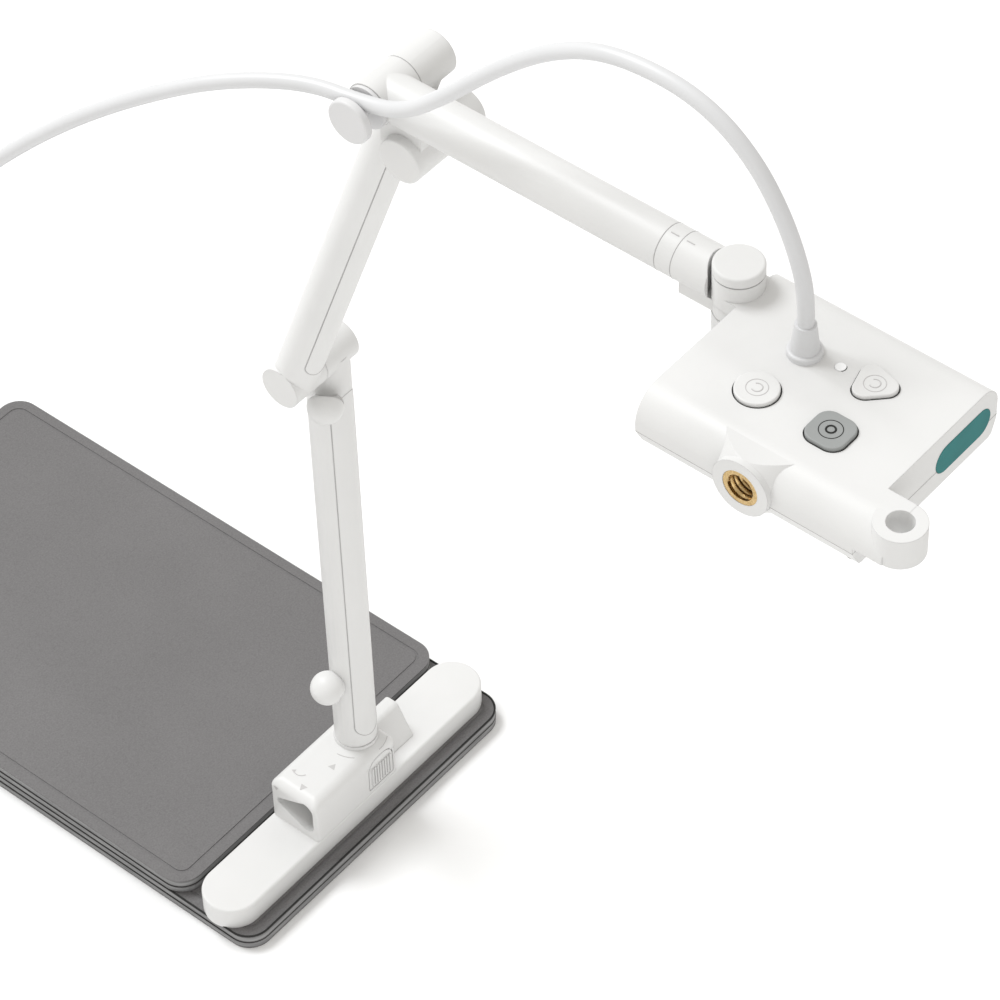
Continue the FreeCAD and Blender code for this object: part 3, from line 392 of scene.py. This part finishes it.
def route_line():
    """The cable's centreline, read from one NURBS spline through its whole route."""
    points = [*ROUTE, *coil_turns(), *PLUG_LEAD]
    curve = bpy.data.curves.new("cable_route", "CURVE")
    curve.dimensions = "3D"
    curve.resolution_u = 10
    spline = curve.splines.new("NURBS")
    spline.points.add(len(points) - 1)
    for at, point in zip(spline.points, points):
        at.co = (*point, 1.0)
    spline.order_u = 3
    spline.use_endpoint_u = True
    holder = bpy.data.objects.new("cable_route", curve)
    line = bpy.data.meshes.new_from_object(holder)
    found = [vert.co.copy() for vert in line.vertices]
    bpy.data.objects.remove(holder)
    bpy.data.meshes.remove(line)
    return found


def tube_frames(line):
    """At each point of a line, two directions across it that don't twist along it."""
    across = Vector((1, 0, 0))
    frames = []
    for index, point in enumerate(line):
        before = line[max(index - 1, 0)]
        after = line[min(index + 1, len(line) - 1)]
        along = (after - before).normalized()
        across = (across - along * across.dot(along)).normalized()
        frames.append((point, across, along.cross(across)))
    return frames


def tube_mesh(name, frames):
    """A round tube with a flat cap of its own at each end, so that the sides shade smoothly up to it."""
    points = []
    faces = []
    for index, (point, across, other) in enumerate(frames):
        for side in range(TUBE_SIDES):
            angle = 2 * math.pi * side / TUBE_SIDES
            points.append(point + across * (CABLE_R * math.cos(angle)) + other * (CABLE_R * math.sin(angle)))
        if index:
            near = (index - 1) * TUBE_SIDES
            far = near + TUBE_SIDES
            for side in range(TUBE_SIDES):
                after = (side + 1) % TUBE_SIDES
                faces.append((near + side, near + after, far + after, far + side))
    last_ring = points[-TUBE_SIDES:]
    faces.append(tuple(reversed(range(len(points), len(points) + TUBE_SIDES))))
    points.extend(points[:TUBE_SIDES])
    faces.append(tuple(range(len(points), len(points) + TUBE_SIDES)))
    points.extend(last_ring)
    mesh = bpy.data.meshes.new(name)
    mesh.from_pydata(points, [], faces)
    smooth = [True] * (len(mesh.polygons) - 2) + [False, False]
    mesh.polygons.foreach_set("use_smooth", smooth)
    return mesh


def cable():
    """One line divided into pieces, each reaching across one joint; the CAD runs each piece stands for are
    hidden.
    """
    line = route_line()
    frames = tube_frames(line)
    reach = [0.0]
    for a, b in zip(line, line[1:]):
        reach.append(reach[-1] + (b - a).length)
    start = 0
    for name, length, first, second, nodes in CABLE_PIECES:
        if length is None:
            stop = len(line) - 1
            length = reach[stop] - reach[start]
        else:
            stop = min(range(len(line)), key=lambda index: abs(reach[index] - reach[start] - length))
        piece = bpy.data.objects.new(name, tube_mesh(name, frames[start:stop + 1]))
        bpy.context.scene.collection.objects.link(piece)
        piece.data.materials.append(MATERIALS["cable_white"])
        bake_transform(piece)
        if nodes:
            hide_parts(*nodes)
        start = stop


# Details

def low(node):
    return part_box(node)[0]


def high(node):
    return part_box(node)[1]


def middle(node):
    return (low(node) + high(node)) / 2


def triangle(name, at, size, turn, normal, body, raised=0.00003):
    """A small solid triangle lying on a face; the turn is its bearing in that face."""
    side = Vector((1, 0, 0)) if abs(normal[2]) > 0.5 else Vector((0, 1, 0))
    up = Vector(normal).cross(side)
    corners = []
    for index in range(3):
        angle = math.radians(turn + 120 * index)
        corners.append(Vector(at) + side * (size * math.cos(angle)) + up * (size * math.sin(angle)))
    return slab(name, corners, Vector(normal) * raised, body, MARK)


def tower_marks():
    """Plain triangles, a swing arrow and two arcs on the tower, in place of its words."""
    top = high("tower_housing").z
    end = low("tower_housing").x
    triangle("mark_socket_top", (end + 3.2 * MM, -1.0 * MM, top), 1.25 * MM, 180, (0, 0, 1), "base")
    triangle("mark_socket_end", (end, 5.9 * MM, 24.3 * MM), 0.95 * MM, 90, (-1, 0, 0), "base")
    triangle("mark_post", (-6.4 * MM, -2.6 * MM, top), 1.25 * MM, 0, (0, 0, 1), "base")
    bend = ring((-12.2 * MM, 3.2 * MM, top), 2.1 * MM, (0, 0, 1), 200, 110, 16)
    line_piece("mark_swing_arrow", [bend], 0.28 * MM, "base", MARK)
    tip = bend[-1]
    triangle("mark_swing_head", (tip.x, tip.y, top), 0.75 * MM, -20, (0, 0, 1), "base", 0.00006)
    post = middle("post_foot_spigot")
    arcs = [ring((post.x, post.y, top), 8.4 * MM, (0, 0, 1), at, 34, 12) for at in (148, 232)]
    line_piece("mark_turn_arcs", arcs, 0.25 * MM, "base", MARK)


def seams():
    """The fine dark lines where two mouldings meet."""
    for node, body in (("post_cover_strip", "post"), ("mid_arm_cover_strip", "mid_arm")):
        runs = sharp_lines(node, outer_skin(node))
        line_piece(f"{node}_seam", runs, SEAM_WIDTH, body, SEAM)
    arm = middle("wrist_ring")
    arm_r = (high("wrist_ring").z - low("wrist_ring").z) / 2
    for name, y, body in (
        ("wrist_seam_near", high("wrist_ring").y, "upper_arm"),
        ("wrist_seam_far", low("wrist_ring").y, "wrist"),
    ):
        circle = ring((arm.x, y, arm.z), arm_r - 0.03 * MM, (0, 1, 0))
        line_piece(name, [circle], WRIST_SEAM_WIDTH, body, SEAM, True)
    for name, y, body in (("wrist_mark_arm", -125.5, "upper_arm"), ("wrist_mark_fork", -129.6, "wrist")):
        x = arm.x - 0.9 * MM
        z = arm.z + arm_r - 0.02 * MM
        run = [(x, (y + 1.0) * MM, z), (x, (y - 1.0) * MM, z)]
        line_piece(name, [run], 0.24 * MM, body, MARK)
    elbows = (
        ("elbow_1_seam", high("mid_arm_tube").x + 0.05 * MM, middle("elbow_1_washer"), "mid_arm"),
        ("elbow_2_seam", low("mid_arm_tube").x - 0.08 * MM, middle("elbow_2_washer"), "mid_arm"),
    )
    for name, x, at, body in elbows:
        circle = ring((x, at.y, at.z), ELBOW_SEAM_R, (1, 0, 0))
        line_piece(name, [circle], SEAM_WIDTH, body, SEAM, True)
    runs = sharp_lines("head_top_shell", on_parting_line)
    line_piece("head_parting_line", runs, PARTING_WIDTH, "head", SEAM)
    for key, _ in KEYS:
        runs = sharp_lines("head_top_shell", round_key_hole(key))
        line_piece(f"{key}_gap", runs, KEY_GAP_WIDTH, "head", DEEP)


def outer_skin(node):
    """A test for points on the outside of an arm's cover strip."""
    skin = STRIP_SKIN_R[node]
    if node == "post_cover_strip":
        centre = middle("post_foot_spigot")
        return lambda at: math.hypot(at.x - centre.x, at.y - centre.y) > skin
    first, second = middle("elbow_1_washer"), middle("elbow_2_washer")
    along = Vector((0, second.y - first.y, second.z - first.z)).normalized()
    x = (low(node).x + high(node).x) / 2

    def outside(at):
        offset = at - Vector((x, first.y, first.z))
        return (offset - along * offset.dot(along)).length > skin
    return outside


def on_parting_line(at):
    """A test for points where the head's two shells meet on its outside."""
    outside = at.x < HEAD_SIDES_X[0] or at.x > HEAD_SIDES_X[1] or at.y < HEAD_END_Y
    return abs(at.z - HEAD_SPLIT_HEIGHT) < SAME_HEIGHT and outside


def round_key_hole(key):
    """A test for points on the lid's edge round a key."""
    centre = middle(key)
    lid = high("status_light_pipe").z - 0.1 * MM
    return lambda at: (
        abs(at.z - lid) < SAME_HEIGHT and math.hypot(at.x - centre.x, at.y - centre.y) < KEY_HOLE_REACH
    )


def mat_gaps():
    """The dark slits between the mat's panels, seen from the side: near-black lines laid in the gaps as
    painted shade.
    """
    bodies = {"mat_skins_4": "mat_underside_panel", "mat_skins_3": "base", "mat_skins_2": "mat_upper_pair"}
    for node, body in bodies.items():
        top = high(node).z
        runs = sharp_lines(node, lambda at, top=top: abs(at.z - top) < 0.03 * MM)
        widest = max(runs, key=lambda run: max(point[0] for point in run) - min(point[0] for point in run))
        inner = []
        for point in widest:
            inset = SLIT_INSET * (1 if point[1] > SLIT_MIDDLE_Y else -1)
            inner.append((point[0] * 0.9985, point[1] - inset, top + 0.05 * MM))
        # painted shade: a near-black line along each gap between panels
        line_piece(f"{node}_slit", [inner], SLIT_WIDTH, body, DEEP)


def key_marks():
    """A pressed ring and a small plain sign on each key."""
    for key, body in KEYS:
        at = middle(key)
        top = high(key).z - 0.02 * MM
        tone, slot = (DEEP, "grey_key") if key == "button_square" else (MARK, "white_plastic")
        radius = 2.5 * MM if key == "button_square" else 2.3 * MM
        runs = [ring((at.x, at.y, top), radius, (0, 0, 1))]
        line_piece(f"{key}_ring", runs, 0.22 * MM, body, tone, True)
        if key == "button_square":
            sign = [ring((at.x, at.y, top), 1.0 * MM, (0, 0, 1), steps=24)]
            line_piece(f"{key}_sign", sign, 0.45 * MM, body, tone, True)
        else:
            sign = [ring((at.x, at.y, top), 1.15 * MM, (0, 0, 1), 40, 260, 24)]
            line_piece(f"{key}_sign", sign, 0.3 * MM, body, tone)


def insert_thread():
    """The insert's inner thread, and a black disc at the bottom of its hole as painted shade for the hole's
    depth.
    """
    mouth, inner_end = low("tripod_insert").x, high("tripod_insert").x
    centre = middle("tripod_insert")
    turns = (inner_end - mouth - 0.6 * MM) / THREAD_PITCH
    steps = int(turns * THREAD_STEPS)
    ridge = ((THREAD_ROOT_R, -0.5), (THREAD_CREST_R, -0.06), (THREAD_CREST_R, 0.06), (THREAD_ROOT_R, 0.5))
    points = []
    faces = []
    for index in range(steps + 1):
        angle = 2 * math.pi * index / THREAD_STEPS
        x = mouth + 0.3 * MM + THREAD_PITCH * index / THREAD_STEPS
        for reach, shift in ridge:
            radius = reach * MM
            y = centre.y + radius * math.cos(angle)
            z = centre.z + radius * math.sin(angle)
            points.append((x + shift * THREAD_PITCH * 0.9, y, z))
        if index:
            base = 4 * (index - 1)
            faces += [(base + side, base + side + 1, base + side + 5, base + side + 4) for side in range(3)]
    mesh_piece("insert_thread", points, faces, "head", MATERIALS["brass"], True)
    # painted shade: a black disc closes the hole so that its depth reads dark
    bottom = ring((inner_end - 0.15 * MM, centre.y, centre.z), 3.15 * MM, (1, 0, 0), steps=40)
    slab("insert_bottom", bottom, (0.1 * MM, 0, 0), "head", MATERIALS["black_plastic"])


def plug_details():
    """Contacts on the plug's tongue and grip ribs on its sides."""
    shell_low, shell_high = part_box("usb_plug_shell")
    body_low, body_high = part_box("usb_plug_overmould")
    middle_x = (shell_low.x + shell_high.x) / 2
    top = shell_low.z + 2.2 * MM
    back, front = shell_high.y - 8.5 * MM, shell_high.y - 0.8 * MM
    for index in range(4):
        x = middle_x + (index - 1.5) * 2.4 * MM
        left, right = x - 0.5 * MM, x + 0.5 * MM
        corners = [(left, back, top), (right, back, top), (right, front, top), (left, front, top)]
        slab(f"plug_contact_{index + 1}", corners, (0, 0, 0.06 * MM), "base", MATERIALS["brass"])
    for index in range(5):
        y = body_low.y + (5.0 + 2.2 * index) * MM
        for side, x in (("left", body_low.x + 0.25 * MM), ("right", body_high.x - 0.25 * MM)):
            run = [(x, y, body_low.z + 2.4 * MM), (x, y, body_high.z - 2.4 * MM)]
            line_piece(f"plug_grip_{side}_{index + 1}", [run], 0.4 * MM, "base", MARK)


# Studio

def studio():
    """A bright room: an even world, a soft key light from behind, a weak fill and a white floor."""
    scene = bpy.context.scene
    scene.view_settings.view_transform = "Standard"
    world = bpy.data.worlds.new("studio")
    world.use_nodes = True
    background = world.node_tree.nodes["Background"]
    background.inputs["Color"].default_value = (1.0, 0.982, 0.948, 1.0)
    background.inputs["Strength"].default_value = 0.78
    scene.world = world
    for name, at, aim, size, power in (
        ("key", (-0.12, 0.95, 1.75), (0.0, 0.0, 0.15), 0.8, 24.0),
        ("fill", (-0.95, -1.05, 0.35), (0.0, 0.05, 0.05), 0.9, 2.6),
    ):
        lamp = bpy.data.lights.new(name, "AREA")
        lamp.size = size
        lamp.energy = power
        lamp.color = (0.96, 0.98, 1.0)
        holder = bpy.data.objects.new(name, lamp)
        holder.location = at
        holder.rotation_mode = "QUATERNION"
        holder.rotation_quaternion = (Vector(aim) - Vector(at)).to_track_quat("-Z", "Y")
        scene.collection.objects.link(holder)
    floor = bpy.data.meshes.new("floor")
    corners = [(x * FLOOR_REACH, y * FLOOR_REACH, 0) for x, y in ((-1, -1), (1, -1), (1, 1), (-1, 1))]
    floor.from_pydata(corners, [], [(0, 1, 2, 3)])
    holder = bpy.data.objects.new("floor", floor)
    holder.location.z = -0.0001
    scene.collection.objects.link(holder)
    finish = plastic("pale_floor", (0.93, 0.93, 0.93), (0.95, 0.95, 0.95), 0.8, 400.0, 0.00001, 0.0)
    floor.materials.append(finish)


def camera():
    azimuth, elevation, roll = [math.radians(a) for a in (CAMERA_AZIMUTH, CAMERA_ELEVATION, CAMERA_ROLL)]
    back = Vector((
        math.sin(azimuth) * math.cos(elevation),
        -math.cos(azimuth) * math.cos(elevation),
        math.sin(elevation),
    ))
    level = Vector((math.cos(azimuth), math.sin(azimuth), 0.0))
    above = back.cross(level)
    right = level * math.cos(roll) + above * math.sin(roll)
    up = above * math.cos(roll) - level * math.sin(roll)
    data = bpy.data.cameras.new("camera")
    data.lens = CAMERA_LENS
    data.sensor_width = 36.0
    data.clip_start = 0.05
    holder = bpy.data.objects.new("camera", data)
    turn = Matrix((right, up, back)).transposed().to_4x4()
    holder.matrix_world = Matrix.Translation(CAMERA_AT) @ turn
    bpy.context.scene.collection.objects.link(holder)
    bpy.context.scene.camera = holder


def dress_cad_nodes():
    """Gives each CAD node the finish of the slot that its packed material names."""
    for name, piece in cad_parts.items():
        slot = piece.material_slots[0].name.split(".")[0]
        material = CAP if name in ("elbow_1_cap", "cable_guide_cap") else MATERIALS[slot]
        for holder in piece.material_slots:
            holder.material = material


camera()
studio()
dress_cad_nodes()
cable()
tower_marks()
seams()
mat_gaps()
key_marks()
insert_thread()
plug_details()
